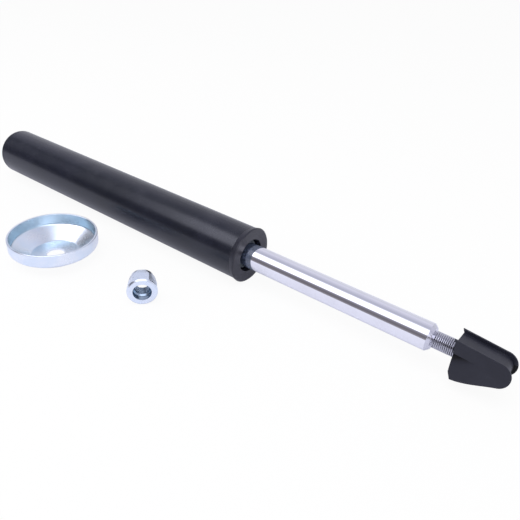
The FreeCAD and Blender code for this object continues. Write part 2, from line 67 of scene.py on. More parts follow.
# Distances in metres: between points that merge, from a point to the place it is looked for at, past a
# limit along X, and from a point to the plane it lies in.
MERGE = 1e-6
NEAR = 5e-5
SLACK = 1e-5
FLAT = 4e-6


class Ray(Enum):
    """Kinds of light path that the studio tells apart."""

    CAMERA = "Is Camera Ray"
    GLOSSY = "Is Glossy Ray"
    TRANSMISSION = "Is Transmission Ray"


class Wear(Enum):
    """How used a finish looks, as a factor on its scuffs and dust."""

    NEW = 0.35
    HANDLED = 0.7
    HIDDEN = 0.2


class Board:
    """Adds nodes and links to one node tree.

    Args:
        tree: The node tree to write in.
    """

    def __init__(self, tree: bpy.types.NodeTree) -> None:
        """Keeps the tree and starts the layout at its left."""
        self.tree = tree
        self.count = 0

    def add(self, kind: str, **settings: object) -> bpy.types.Node:
        """Adds one node.

        Args:
            kind: The node's Blender type.
            settings: Properties to set on it.

        Returns:
            The new node.
        """
        node = self.tree.nodes.new(kind)
        node.location = (220 * (self.count % 8), -260 * (self.count // 8))
        self.count += 1
        for name, value in settings.items():
            setattr(node, name, value)
        return node

    def feed(self, node: bpy.types.Node, socket: str | int, value: object) -> None:
        """Sets an input or links a socket to it.

        Args:
            node: The node that takes the value.
            socket: Its input, by name or number.
            value: A socket to link from, or a plain value.
        """
        target = node.inputs[socket]
        if isinstance(value, bpy.types.NodeSocket):
            self.tree.links.new(value, target)
        elif isinstance(value, tuple) and len(value) == 3 and target.type == "RGBA":
            target.default_value = (*value, 1.0)
        else:
            target.default_value = value

    def math(self, operation: str, *values: object) -> Socket:
        """Adds a Math node.

        Args:
            operation: The Math node's operation.
            values: Its inputs in order, sockets or numbers.

        Returns:
            The result's socket.
        """
        node = self.add("ShaderNodeMath", operation=operation)
        for index, value in enumerate(values):
            self.feed(node, index, value)
        return node.outputs[0]

    def vector(self, operation: str, *values: object) -> bpy.types.Node:
        """Adds a Vector Math node.

        Args:
            operation: The node's operation.
            values: Its inputs in order, sockets or vectors.

        Returns:
            The node, whose outputs are Vector and Value.
        """
        node = self.add("ShaderNodeVectorMath", operation=operation)
        for index, value in enumerate(values):
            self.feed(node, index, value)
        return node

    def split(self, vector: Socket) -> bpy.types.bpy_prop_collection:
        """Adds a Separate XYZ node.

        Args:
            vector: The vector to take apart.

        Returns:
            The node's outputs X, Y and Z.
        """
        node = self.add("ShaderNodeSeparateXYZ")
        self.feed(node, 0, vector)
        return node.outputs

    def turned(self, vector: Socket, rotation: Place) -> bpy.types.Node:
        """Adds a Mapping node that turns a vector.

        Args:
            vector: The vector to turn.
            rotation: The turns about X, Y and Z, in radians.

        Returns:
            The node.
        """
        node = self.add("ShaderNodeMapping")
        self.feed(node, "Vector", vector)
        self.feed(node, "Rotation", rotation)
        return node

    def span(self, value: Socket, low: object, high: object,
             out: tuple[float, float] = (0.0, 1.0)) -> Socket:
        """Maps a value smoothly from one span to another.

        Args:
            value: The value to map.
            low: Where the span starts.
            high: Where it ends.
            out: The results at the start and the end.

        Returns:
            The mapped value's socket.
        """
        node = self.add("ShaderNodeMapRange", interpolation_type="SMOOTHSTEP")
        for name, item in (("Value", value), ("From Min", low), ("From Max", high), ("To Min", out[0]),
                           ("To Max", out[1])):
            self.feed(node, name, item)
        return node.outputs["Result"]

    def noise(self, vector: Socket, scale: object, detail: float = 3.0, rough: float = 0.55) -> Socket:
        """Adds a Noise Texture.

        Args:
            vector: The place to read it at.
            scale: Its scale, per metre.
            detail: Its octaves.
            rough: How strong the fine octaves are.

        Returns:
            The noise value's socket, about 0.5 on average.
        """
        node = self.add("ShaderNodeTexNoise")
        for name, item in (("Vector", vector), ("Scale", scale), ("Detail", detail), ("Roughness", rough)):
            self.feed(node, name, item)
        return node.outputs["Fac"]

    def blend(self, factor: object, first: object, second: object) -> Socket:
        """Mixes two colours.

        Args:
            factor: The share of the second.
            first: The first colour or socket.
            second: The second colour or socket.

        Returns:
            The mixed colour's socket.
        """
        node = self.add("ShaderNodeMix", data_type="RGBA")
        colours = [s for s in node.inputs if s.type == "RGBA"]
        self.feed(node, 0, factor)
        for target, item in zip(colours, (first, second)):
            if isinstance(item, bpy.types.NodeSocket):
                self.tree.links.new(item, target)
            else:
                target.default_value = (*item, 1.0)
        return next(s for s in node.outputs if s.type == "RGBA")

    def ramp(self, value: Socket, stops: Sequence[tuple[float, Colour]]) -> Socket:
        """Adds a Color Ramp.

        Args:
            value: Where along the ramp to read.
            stops: Places and colours, in order.

        Returns:
            The colour's socket.
        """
        node = self.add("ShaderNodeValToRGB")
        elements = node.color_ramp.elements
        while len(elements) < len(stops):
            elements.new(1.0)
        for element, (place, colour) in zip(elements, stops):
            element.position = place
            element.color = (*colour, 1.0)
        self.feed(node, 0, value)
        return node.outputs[0]


class Effects:
    """The shader node groups that several finishes share, each built once."""

    @staticmethod
    def blank(name: str, numbers: Sequence[tuple[str, float]],
              result: str) -> tuple[Board, bpy.types.Node, bpy.types.Node]:
        """Starts a node group with a Vector and named numbers in and one number out.

        Args:
            name: The group's name.
            numbers: Name and default of each number that goes in.
            result: The name of the number that comes out.

        Returns:
            A board on the group, its input node and its output node.
        """
        tree = bpy.data.node_groups.new(name, "ShaderNodeTree")
        tree.interface.new_socket(name="Vector", in_out="INPUT", socket_type="NodeSocketVector")
        for label, default in numbers:
            socket = tree.interface.new_socket(name=label, in_out="INPUT", socket_type="NodeSocketFloat")
            socket.default_value = default
        tree.interface.new_socket(name=result, in_out="OUTPUT", socket_type="NodeSocketFloat")
        board = Board(tree)
        return board, board.add("NodeGroupInput"), board.add("NodeGroupOutput")

    @staticmethod
    @cache
    def grain() -> bpy.types.ShaderNodeTree:
        """Fine even grain in two sizes, as on a sprayed, plated or moulded skin.

        Returns:
            The group, with Vector, Scale and Clumping in and Value out.
        """
        board, start, end = Effects.blank("fine_grain", (("Scale", 900.0), ("Clumping", 0.35)), "Value")
        fine = board.noise(start.outputs["Vector"], start.outputs["Scale"], 4.0, 0.6)
        coarse_scale = board.math("MULTIPLY", start.outputs["Scale"], 0.06)
        coarse = board.noise(start.outputs["Vector"], coarse_scale, 3.0, 0.5)
        share = start.outputs["Clumping"]
        kept = board.math("SUBTRACT", 1.0, share)
        total = board.math("MULTIPLY_ADD", fine, kept, board.math("MULTIPLY", coarse, share))
        board.feed(end, "Value", total)
        return board.tree

    @staticmethod
    @cache
    def turning() -> bpy.types.ShaderNodeTree:
        """Fine rings round an axis, as a lathe, a grinder or a press leaves them.

        Returns:
            The group, with Vector (whose X lies along the axis) and Scale in and Value out.
        """
        board, start, end = Effects.blank("turning_marks", (("Scale", 2500.0),), "Value")
        axes = board.split(start.outputs["Vector"])
        across = board.math("POWER", axes["Y"], 2.0)
        radius = board.math("SQRT", board.math("MULTIPLY_ADD", axes["Z"], axes["Z"], across))
        place = board.add("ShaderNodeCombineXYZ")
        board.feed(place, "X", axes["X"])
        board.feed(place, "Y", radius)
        angle = board.math("ARCTAN2", axes["Z"], axes["Y"])
        board.feed(place, "Z", board.math("MULTIPLY", angle, 0.0004))
        board.feed(end, "Value", board.noise(place.outputs[0], start.outputs["Scale"], 3.0, 0.65))
        return board.tree

    @staticmethod
    @cache
    def scuffs() -> bpy.types.ShaderNodeTree:
        """Thin scattered scratches in two directions.

        Returns:
            The group, with Vector, Density and Length in and Mask out.
        """
        board, start, end = Effects.blank("thin_scuffs", (("Density", 0.5), ("Length", 0.06)), "Mask")
        masks = []
        for turn in ((0.3, 0.9, 0.5), (1.2, -0.4, 2.1)):
            mapping = board.turned(start.outputs["Vector"], turn)
            size = board.add("ShaderNodeCombineXYZ")
            board.feed(size, "X", start.outputs["Length"])
            board.feed(size, "Y", 1.0)
            board.feed(size, "Z", 1.0)
            board.feed(mapping, "Scale", size.outputs[0])
            value = board.noise(mapping.outputs[0], 1400.0, 2.0, 0.5)
            low = board.math("MULTIPLY_ADD", start.outputs["Density"], -0.12, 0.76)
            masks.append(board.span(value, low, board.math("ADD", low, 0.05)))
        board.feed(end, "Mask", board.math("MAXIMUM", masks[0], masks[1]))
        return board.tree

    @staticmethod
    @cache
    def dust() -> bpy.types.ShaderNodeTree:
        """Dust and fine smears that settle on what faces up.

        Returns:
            The group, with Vector and Amount in and Mask out.
        """
        board, start, end = Effects.blank("settled_dust", (("Amount", 0.3),), "Mask")
        up = board.span(board.split(board.add("ShaderNodeTexCoord").outputs["Normal"])["Z"], 0.1, 1.0)
        patch = board.span(board.noise(start.outputs["Vector"], 60.0, 5.0, 0.6), 0.42, 0.7)
        speck = board.span(board.noise(start.outputs["Vector"], 2600.0, 2.0, 0.5), 0.62, 0.72)
        both = board.math("MULTIPLY_ADD", speck, 0.6, patch)
        settled = board.math("MULTIPLY", both, up)
        board.feed(end, "Mask", board.math("MULTIPLY", settled, start.outputs["Amount"]))
        return board.tree

    @staticmethod
    @cache
    def edge_band() -> bpy.types.ShaderNodeTree:
        """A worn band round a rim that lies at one value of a coordinate.

        Returns:
            The group, with Value, Station, Width and Vector in and Mask out.
        """
        numbers = (("Value", 0.0), ("Station", 0.0), ("Width", 0.001))
        board, start, end = Effects.blank("edge_band", numbers, "Mask")
        shift = board.math("SUBTRACT", start.outputs["Value"], start.outputs["Station"])
        away = board.math("ABSOLUTE", shift)
        ragged = board.noise(start.outputs["Vector"], 420.0, 4.0, 0.7)
        width = board.math("MULTIPLY", start.outputs["Width"], board.math("MULTIPLY_ADD", ragged, 1.6, 0.2))
        near = board.math("DIVIDE", away, width)
        band = board.span(near, 0.5, 1.0, (1.0, 0.0))
        spots = board.span(board.noise(start.outputs["Vector"], 1500.0, 3.0, 0.6), 0.42, 0.62)
        board.feed(end, "Mask", board.math("MULTIPLY", band, spots))
        return board.tree


@dataclass(frozen=True)
class Finish:
    """A surface finish.

    Each finish makes one material, which reads places on the piece from Object coordinates.
    """

    name: str
    colour: Colour
    roughness: float
    wear: Wear = Wear.NEW

    def material(self) -> bpy.types.Material:
        """Builds the material, or returns the one already built under this name.

        Returns:
            The finished material.
        """
        made = bpy.data.materials.get(self.name)
        if made is not None:
            return made
        made = bpy.data.materials.new(self.name)
        made.use_nodes = True
        made.node_tree.nodes.clear()
        board = Board(made.node_tree)
        shader = board.add("ShaderNodeBsdfPrincipled")
        output = board.add("ShaderNodeOutputMaterial")
        board.feed(output, "Surface", shader.outputs["BSDF"])
        self.dress(board, shader, board.add("ShaderNodeTexCoord").outputs["Object"])
        return made

    def dress(self, board: Board, shader: bpy.types.Node, place: Socket) -> None:
        """Writes the finish on the shader; each kind of finish has its own.

        Args:
            board: The material's board.
            shader: Its Principled shader.
            place: Object coordinates.
        """
        raise NotImplementedError

    @staticmethod
    def group(board: Board, tree: bpy.types.ShaderNodeTree, **values: object) -> bpy.types.Node:
        """Places a shared effect in a material.

        Args:
            board: The material's board.
            tree: The effect's node group.
            values: Its inputs by name.

        Returns:
            The group node.
        """
        node = board.add("ShaderNodeGroup", node_tree=tree)
        for name, value in values.items():
            board.feed(node, name, value)
        return node

    @staticmethod
    def bump(board: Board, shader: bpy.types.Node, height: Socket, depth: float) -> None:
        """Feeds a height into the shader's normal.

        Args:
            board: The material's board.
            shader: The shader that takes the normal.
            height: The height, from 0 to 1.
            depth: How deep a height of 1 is, in metres.
        """
        node = board.add("ShaderNodeBump")
        board.feed(node, "Height", height)
        board.feed(node, "Distance", depth)
        board.feed(node, "Strength", 1.0)
        board.feed(shader, "Normal", node.outputs["Normal"])


@dataclass(frozen=True)
class SprayedCoat(Finish):
    """Black sprayed or dipped coat on steel, with orange peel, narrow scuffs and worn rims.

    The rims are at stations along X. Where a mirrored colour is set, reflections see it in place of the coat's
    own colour: a painted reflection.
    """

    sheen: Colour = (0.009, 0.0105, 0.021)
    bare: Colour = (0.1, 0.1, 0.12)
    dusty: Colour = (0.3, 0.3, 0.31)
    stations: tuple[float, ...] = ()
    band: float = 0.0006
    peel: float = 1.2e-6
    rings: float = 0.0
    gloss: float = 0.5
    mirrored: Colour | None = None

    def dress(self, board: Board, shader: bpy.types.Node, place: Socket) -> None:
        """Writes the coat; see Finish.dress."""
        grain = self.group(board, Effects.grain(), Vector=place, Scale=1500.0, Clumping=0.3).outputs["Value"]
        drift = board.span(board.noise(place, 30.0, 3.0, 0.5), 0.3, 0.75)
        tint = board.blend(drift, self.colour, self.sheen)
        scuff = self.group(board, Effects.scuffs(), Vector=place, Density=self.wear.value, Length=0.05)
        dust = self.group(board, Effects.dust(), Vector=place, Amount=0.08 * self.wear.value)
        colour = board.blend(board.math("MULTIPLY", scuff.outputs["Mask"], 0.25), tint, self.bare)
        colour = board.blend(dust.outputs["Mask"], colour, self.dusty)
        along = board.split(place)["X"]
        for station in self.stations:
            worn = self.group(board, Effects.edge_band(), Value=along, Station=station, Width=self.band,
                              Vector=place)
            colour = board.blend(board.math("MULTIPLY", worn.outputs["Mask"], 0.3), colour, self.bare)
        # Painted reflection: glossy rays see the mirrored colour in place of the coat's own colour.
        if self.mirrored:
            glossy = board.add("ShaderNodeLightPath").outputs[Ray.GLOSSY.value]
            colour = board.blend(glossy, colour, self.mirrored)
        board.feed(shader, "Base Color", colour)
        board.feed(shader, "Specular IOR Level", self.gloss)
        rough = board.math("MULTIPLY_ADD", grain, 0.16, self.roughness - 0.08)
        rough = board.math("MULTIPLY_ADD", scuff.outputs["Mask"], -0.08, rough)
        board.feed(shader, "Roughness", board.math("MULTIPLY_ADD", dust.outputs["Mask"], 0.3, rough))
        height = grain
        if self.rings:
            turned = self.group(board, Effects.turning(), Vector=place, Scale=3200.0).outputs["Value"]
            height = board.math("MULTIPLY_ADD", turned, self.rings, grain)
        self.bump(board, shader, height, self.peel)


@dataclass(frozen=True)
class HardChrome(Finish):
    """Ground and polished hard chrome, with very fine rings, a few dull smears and a slight waviness."""

    waviness: float = 1.2e-5

    def dress(self, board: Board, shader: bpy.types.Node, place: Socket) -> None:
        """Writes the chrome; see Finish.dress."""
        rings = self.group(board, Effects.turning(), Vector=place, Scale=5200.0).outputs["Value"]
        smear = board.span(board.noise(place, 55.0, 5.0, 0.65), 0.45, 0.8)
        scuff = self.group(board, Effects.scuffs(), Vector=place, Density=0.3 * self.wear.value, Length=0.08)
        dull = tuple(0.9 * c for c in self.colour)
        board.feed(shader, "Base Color", board.blend(board.math("MULTIPLY", smear, 0.6), self.colour, dull))
        board.feed(shader, "Metallic", 1.0)
        rough = board.math("MULTIPLY_ADD", rings, 0.04, self.roughness - 0.02)
        rough = board.math("MULTIPLY_ADD", smear, 0.03, rough)
        board.feed(shader, "Roughness", board.math("MULTIPLY_ADD", scuff.outputs["Mask"], 0.1, rough))
        self.bump(board, shader, board.noise(place, 70.0, 2.0, 0.4), self.waviness)


@dataclass(frozen=True)
class ZincPlate(Finish):
    """Bright zinc plating with a bluish passivation that drifts in tint, and press or turning rings.

    The centre is on the piece's axis, and the turn in radians brings that axis to X. Where a bore is set, the
    colour is painted to a darker shade tint between the radii core and bore: painted shade in a hollow.
    """

    centre: Place = (0.0, 0.0, 0.0)
    turn: Place = (0.0, 0.0, 0.0)
    tint: Colour = (0.72, 0.86, 1.0)
    scratched: Colour = (0.5, 0.52, 0.56)
    rings: float = 3000.0
    bore: float = 0.0
    core: float = 0.0
    shade_tint: Colour = (0.4, 0.5, 0.6)
    edge: float = 0.00008
    relief: float = 3.0e-7

    def dress(self, board: Board, shader: bpy.types.Node, place: Socket) -> None:
        """Writes the plating; see Finish.dress."""
        shift = board.vector("SUBTRACT", place, self.centre).outputs[0]
        local = board.turned(shift, self.turn).outputs[0]
        rings = self.group(board, Effects.turning(), Vector=local, Scale=self.rings).outputs["Value"]
        grain = self.group(board, Effects.grain(), Vector=place, Scale=2200.0, Clumping=0.4).outputs["Value"]
        cloud = board.span(board.noise(place, 70.0, 4.0, 0.55), 0.35, 0.7)
        colour = board.blend(board.math("MULTIPLY", cloud, 0.45), self.colour, self.tint)
        scuff = self.group(board, Effects.scuffs(), Vector=place, Density=self.wear.value, Length=0.07)
        colour = board.blend(board.math("MULTIPLY", scuff.outputs["Mask"], 0.3), colour, self.scratched)
        # Painted shade: between the radii core and bore the colour turns to the darker shade tint.
        if self.bore:
            across = board.vector("MULTIPLY", local, (0.0, 1.0, 1.0)).outputs[0]
            out = board.vector("LENGTH", across).outputs["Value"]
            shade_band = board.span(out, self.bore, self.bore - self.edge)
            if self.core:
                shade_band = board.math("MULTIPLY", shade_band, board.span(out, self.core, self.core + self.edge))
            colour = board.blend(shade_band, colour, self.shade_tint)
        board.feed(shader, "Base Color", colour)
        board.feed(shader, "Metallic", 1.0)
        rough = board.math("MULTIPLY_ADD", grain, 0.12, self.roughness - 0.06)
        rough = board.math("MULTIPLY_ADD", cloud, 0.05, rough)
        board.feed(shader, "Roughness", board.math("MULTIPLY_ADD", scuff.outputs["Mask"], 0.12, rough))
        self.bump(board, shader, board.math("MULTIPLY_ADD", rings, 0.6, grain), self.relief)


@dataclass(frozen=True)
class Moulded(Finish):
    """Injection-moulded plastic: a fine sparked skin, flow tints and dull handled spots.

    A piece with recessed side scoops has a pocket, which says how far out its side faces are and how high the
    scoops reach; inside those faces and below that height its colour is painted far darker and its roughness
    raised, as painted shade in the scoops. The turn about X, in degrees, brings such a piece upright.
    """

    grain_depth: float = 6.0e-6
    gloss: float = 0.5
    dusty: Colour = (0.35, 0.35, 0.35)
    shade_pocket: tuple[float, float] | None = None
    turn: float = 0.0

    def dress(self, board: Board, shader: bpy.types.Node, place: Socket) -> None:
        """Writes the plastic; see Finish.dress."""
        grain = self.group(board, Effects.grain(), Vector=place, Scale=1800.0, Clumping=0.45)
        flow = board.span(board.noise(place, 90.0, 4.0, 0.6), 0.35, 0.75)
        lighter = tuple(min(1.0, 1.25 * c + 0.001) for c in self.colour)
        colour = board.blend(flow, self.colour, lighter)
        scuff = self.group(board, Effects.scuffs(), Vector=place, Density=0.5 * self.wear.value, Length=0.09)
        dust = self.group(board, Effects.dust(), Vector=place, Amount=0.1 * self.wear.value)
        pale = tuple(min(1.0, 2.0 * c + 0.06) for c in self.colour)
        colour = board.blend(board.math("MULTIPLY", scuff.outputs["Mask"], 0.12), colour, pale)
        colour = board.blend(dust.outputs["Mask"], colour, self.dusty)
        rough = board.math("MULTIPLY_ADD", grain.outputs["Value"], 0.2, self.roughness - 0.1)
        rough = board.math("MULTIPLY_ADD", flow, 0.06, rough)
        if self.shade_pocket:
            face, top = self.shade_pocket
            axes = board.split(board.turned(place, (math.radians(self.turn), 0.0, 0.0)).outputs[0])
            scoop_shade = board.span(board.math("ABSOLUTE", axes["Y"]), face - 0.0001, face - 0.0013)
            scoop_shade = board.math("MULTIPLY", scoop_shade, board.span(axes["Z"], top + 0.0001, top))
            # Painted shade: in the scoops the colour drops to 0.12 of the plastic's own colour.
            colour = board.blend(scoop_shade, colour, tuple(0.12 * c for c in self.colour))
            rough = board.math("MULTIPLY_ADD", scoop_shade, 0.35, rough)
        board.feed(shader, "Base Color", colour)
        board.feed(shader, "Specular IOR Level", self.gloss)
        board.feed(shader, "Roughness", rough)
        self.bump(board, shader, grain.outputs["Value"], self.grain_depth)


@dataclass(frozen=True)
class WorkedSteel(Finish):
    """Plain machined, ground or sintered metal, oiled and with rings or pores."""

    rings: float = 1.0
    pores: float = 0.0
    stain: Colour = (0.2, 0.17, 0.13)
    relief: float = 3.0e-6

    def dress(self, board: Board, shader: bpy.types.Node, place: Socket) -> None:
        """Writes the metal; see Finish.dress."""
        turned = self.group(board, Effects.turning(), Vector=place, Scale=2600.0).outputs["Value"]
        grain = self.group(board, Effects.grain(), Vector=place, Scale=2400.0, Clumping=0.3).outputs["Value"]
        oil = board.span(board.noise(place, 110.0, 4.0, 0.6), 0.5, 0.8)
        pits = board.span(grain, 0.44, 0.36)
        dark = tuple(0.55 * c for c in self.colour)
        colour = board.blend(board.math("MULTIPLY", oil, 0.35), self.colour, self.stain)
        colour = board.blend(board.math("MULTIPLY", pits, self.pores), colour, dark)
        board.feed(shader, "Base Color", colour)
        board.feed(shader, "Metallic", 1.0)
        rough = board.math("MULTIPLY_ADD", turned, 0.16, self.roughness - 0.08)
        board.feed(shader, "Roughness", board.math("MULTIPLY_ADD", oil, -0.1, rough))
        fine = board.math("MULTIPLY", grain, 0.3 + self.pores)
        height = board.math("MULTIPLY_ADD", turned, self.rings, fine)
        self.bump(board, shader, height, self.relief)


@dataclass(frozen=True)
class ThreadForm:
    """A right-handed 60 degree thread of one size.

    Attributes:
        diameter: The major diameter.
        pitch: The pitch.
        depth: The groove's depth.
        crest: The flat at the crest, as a share of the pitch.
        over: How far the cutter stands past the surface that it cuts.
        root: The least half width of the groove's floor.
        steps: The parts that a turn is divided into.
    """

    diameter: float = 0.012
    pitch: float = 0.00125
    depth: float = 0.00072
    crest: float = 0.125
    over: float = 0.00004
    root: float = 0.00006
    steps: int = 56

    def cutter(self, name: str, start: float, turns: int, outward: bool) -> bpy.types.Object:
        """Makes the helix-shaped solid that cuts the groove, along X from a start.

        Args:
            name: The cutter's name.
            start: Where along X the groove begins.
            turns: How many turns it has.
            outward: True for a groove in a shaft, False for one in a hole's wall.

        Returns:
            The cutter.
        """
        flank = math.tan(math.radians(30))
        sign = 1.0 if outward else -1.0
        surface = self.diameter / 2 if outward else self.diameter / 2 - self.depth
        mouth = (1.0 - self.crest) * self.pitch / 2 + self.over * flank
        root = max(mouth - (self.depth + self.over) * flank, self.root)
        near, far = surface + sign * self.over, surface - sign * self.depth
        Shop.clear()
        bpy.ops.mesh.primitive_plane_add(size=1.0, location=(0, 0, 0))
        tool = bpy.context.object
        tool.name = name
        corners = ((-mouth, near), (mouth, near), (root, far), (-root, far))
        around = sorted(tool.data.vertices, key=lambda v: math.atan2(v.co.y, v.co.x))
        for vertex, (x, r) in zip(around, corners):
            vertex.co = Vector((start + x, 0.0, r))
        screw = tool.modifiers.new("helix", "SCREW")
        screw.axis = "X"
        screw.angle = 2 * math.pi
        screw.screw_offset = self.pitch
        screw.iterations = turns
        screw.steps = screw.render_steps = self.steps
        screw.use_merge_vertices = False
        Shop.apply(tool)
        Shop.enter(tool)
        bpy.ops.mesh.select_all(action="SELECT")
        bpy.ops.mesh.normals_make_consistent(inside=False)
        Shop.leave()
        return tool


class Shop:
    """The bench work that every modelled piece shares."""

    @staticmethod
    def clear() -> None:
        """Deselects everything."""
        bpy.ops.object.select_all(action="DESELECT")

    @staticmethod
    def pick(piece: bpy.types.Object) -> None:
        """Selects one piece alone and makes it active."""
        Shop.clear()
        piece.select_set(True)
        bpy.context.view_layer.objects.active = piece

    @staticmethod
    def enter(piece: bpy.types.Object) -> None:
        """Opens a piece in edit mode with nothing selected."""
        Shop.pick(piece)
        bpy.ops.object.mode_set(mode="EDIT")
        bpy.ops.mesh.select_all(action="DESELECT")

    @staticmethod
    def leave() -> None:
        """Goes back to object mode."""
        bpy.ops.object.mode_set(mode="OBJECT")

    @staticmethod
    def apply(piece: bpy.types.Object) -> None:
        """Applies every modifier of a piece, in order."""
        Shop.pick(piece)
        for modifier in list(piece.modifiers):
            bpy.ops.object.modifier_apply(modifier=modifier.name)

    @staticmethod
    def copy_of(node: str, name: str) -> bpy.types.Object:
        """Copies a solid's mesh into a new piece, with its triangles merged.

        Args:
            node: The solid's name.
            name: The new piece's name.

        Returns:
            The new piece.
        """
        piece = bpy.data.objects.new(name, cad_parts[node].data.copy())
        bpy.context.scene.collection.objects.link(piece)
        piece.data.materials.clear()
        Shop.enter(piece)
        bpy.ops.mesh.select_all(action="SELECT")
        bpy.ops.mesh.remove_doubles(threshold=MERGE)
        Shop.leave()
        bpy.ops.mesh.customdata_custom_splitnormals_clear()
        return piece

    @staticmethod
    def cut(piece: bpy.types.Object, tool: bpy.types.Object) -> None:
        """Cuts a tool out of a piece and removes the tool.

        Args:
            piece: The piece to cut.
            tool: The closed solid to cut away.
        """
        cut = piece.modifiers.new("cut", "BOOLEAN")
        cut.operation = "DIFFERENCE"
        cut.solver = "EXACT"
        cut.object = tool
        Shop.apply(piece)
        bpy.data.objects.remove(tool, do_unlink=True)

    @staticmethod
    def enter_at(piece: bpy.types.Object, test: Callable[[bpy.types.MeshVertex], bool]) -> None:
        """Opens a piece in edit mode with only some of its points selected.

        Args:
            piece: The piece.
            test: Says whether a point is selected.
        """
        Shop.enter(piece)
        bpy.ops.mesh.select_mode(type="VERT")
        Shop.leave()
        for vertex in piece.data.vertices:
            vertex.select = test(vertex)
        bpy.ops.object.mode_set(mode="EDIT")

    @staticmethod
    def out(vertex: bpy.types.MeshVertex) -> float:
        """Measures how far a point is from the X axis."""
        return math.hypot(vertex.co.y, vertex.co.z)

    @staticmethod
    def move_ring(piece: bpy.types.Object, ring: tuple[float, float], place: tuple[float, float]) -> None:
        """Moves one ring of a turned piece along X and to another radius.

        Args:
            piece: The piece, turned about X.
            ring: Where the ring's points are: along X, and out from the axis.
            place: Where they go.
        """
        Shop.enter_at(piece, lambda point: (
            abs(point.co.x - ring[0]) < NEAR and abs(Shop.out(point) - ring[1]) < NEAR))
        bpy.ops.transform.translate(value=(place[0] - ring[0], 0.0, 0.0))
        share = place[1] / ring[1]
        bpy.ops.transform.resize(value=(1.0, share, share), center_override=(place[0], 0.0, 0.0))
        Shop.leave()

    @staticmethod
    def smooth(piece: bpy.types.Object, degrees: float) -> None:
        """Shades a piece smooth, apart from edges sharper than an angle."""
        Shop.pick(piece)
        bpy.ops.object.shade_smooth_by_angle(angle=math.radians(degrees))

    @staticmethod
    def coat(piece: bpy.types.Object, finish: Finish) -> None:
        """Puts one finish on all of a piece."""
        piece.data.materials.clear()
        piece.data.materials.append(finish.material())

    @staticmethod
    def dress_node(node: str, finish: Finish) -> None:
        """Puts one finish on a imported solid.

        Args:
            node: The solid's name.
            finish: Its finish.
        """
        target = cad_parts[node]
        material = finish.material()
        if not target.data.materials:
            target.data.materials.append(material)
        for spot in target.material_slots:
            spot.material = material
        LOG.info("%s wears %s", node, finish.name)


@dataclass
class TubeGroup:
    """The outer tube with its base and closure ring.

    The flare says behind which place the ring's flange narrows, outside which radius, and to which radius.
    """

    coat: Finish = SprayedCoat(
        "black_satin_coat", (0.007, 0.0085, 0.0155), 0.25, Wear.NEW, stations=(0.0052, 0.3094))
    # The ring's mirrored colour is a painted reflection: the rod's chrome sees the ring's face lighter and
    # bluer than the face's own colour.
    ring: Finish = SprayedCoat(
        "flat_black_ring", (0.0095, 0.01, 0.019), 0.34, Wear.NEW, sheen=(0.016, 0.0165, 0.026), rings=0.3,
        stations=(0.3143,), mirrored=(0.1, 0.125, 0.18))
    flare: tuple[float, float, float] = (0.31001, 0.0224, 0.02225)

    def build(self) -> None:
        """Dresses the tube and the base, and flares the ring's flange towards its face."""
        for node in ("outer_tube", "base_cap"):
            Shop.dress_node(node, self.coat)
        ring = Shop.copy_of("closure_ring", "flared_ring")
        back, least, root = self.flare
        Shop.enter_at(ring, lambda point: point.co.x < back and Shop.out(point) > least)
        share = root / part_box("closure_ring")[1][2]
        bpy.ops.transform.resize(value=(1.0, share, share), center_override=(back, 0.0, 0.0))
        Shop.leave()
        Shop.coat(ring, self.ring)
        Shop.smooth(ring, 24.0)
        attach(ring, "insert")
        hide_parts("closure_ring")
        LOG.info("flared_ring has %d faces", len(ring.data.polygons))


@dataclass
class GlandGroup:
    """Everything round the rod under the closure ring."""

    rubber: Finish = Moulded(
        "seal_rubber", (0.012, 0.013, 0.018), 0.5, Wear.NEW, grain_depth=3.0e-6, gloss=0.3)
    steel: Finish = WorkedSteel(
        "machined_steel", (0.56, 0.56, 0.57), 0.34, Wear.HIDDEN)
    spring: Finish = WorkedSteel(
        "spring_steel", (0.42, 0.43, 0.46), 0.28, Wear.HIDDEN, rings=0.4)
    iron: Finish = WorkedSteel(
        "sintered_iron", (0.3, 0.29, 0.28), 0.5, Wear.HIDDEN, rings=0.3, pores=0.7)
    bronze: Finish = WorkedSteel(
        "bearing_bronze", (0.62, 0.4, 0.2), 0.36, Wear.HIDDEN, stain=(0.25, 0.14, 0.06))

    def build(self) -> None:
        """Dresses the seal, the guide and their small parts."""
        for node, finish in (
            ("oil_seal", self.rubber), ("guide_o_ring", self.rubber), ("seal_case", self.steel),
            ("garter_spring", self.spring), ("rod_guide", self.iron), ("guide_bushing", self.bronze),
        ):
            Shop.dress_node(node, finish)


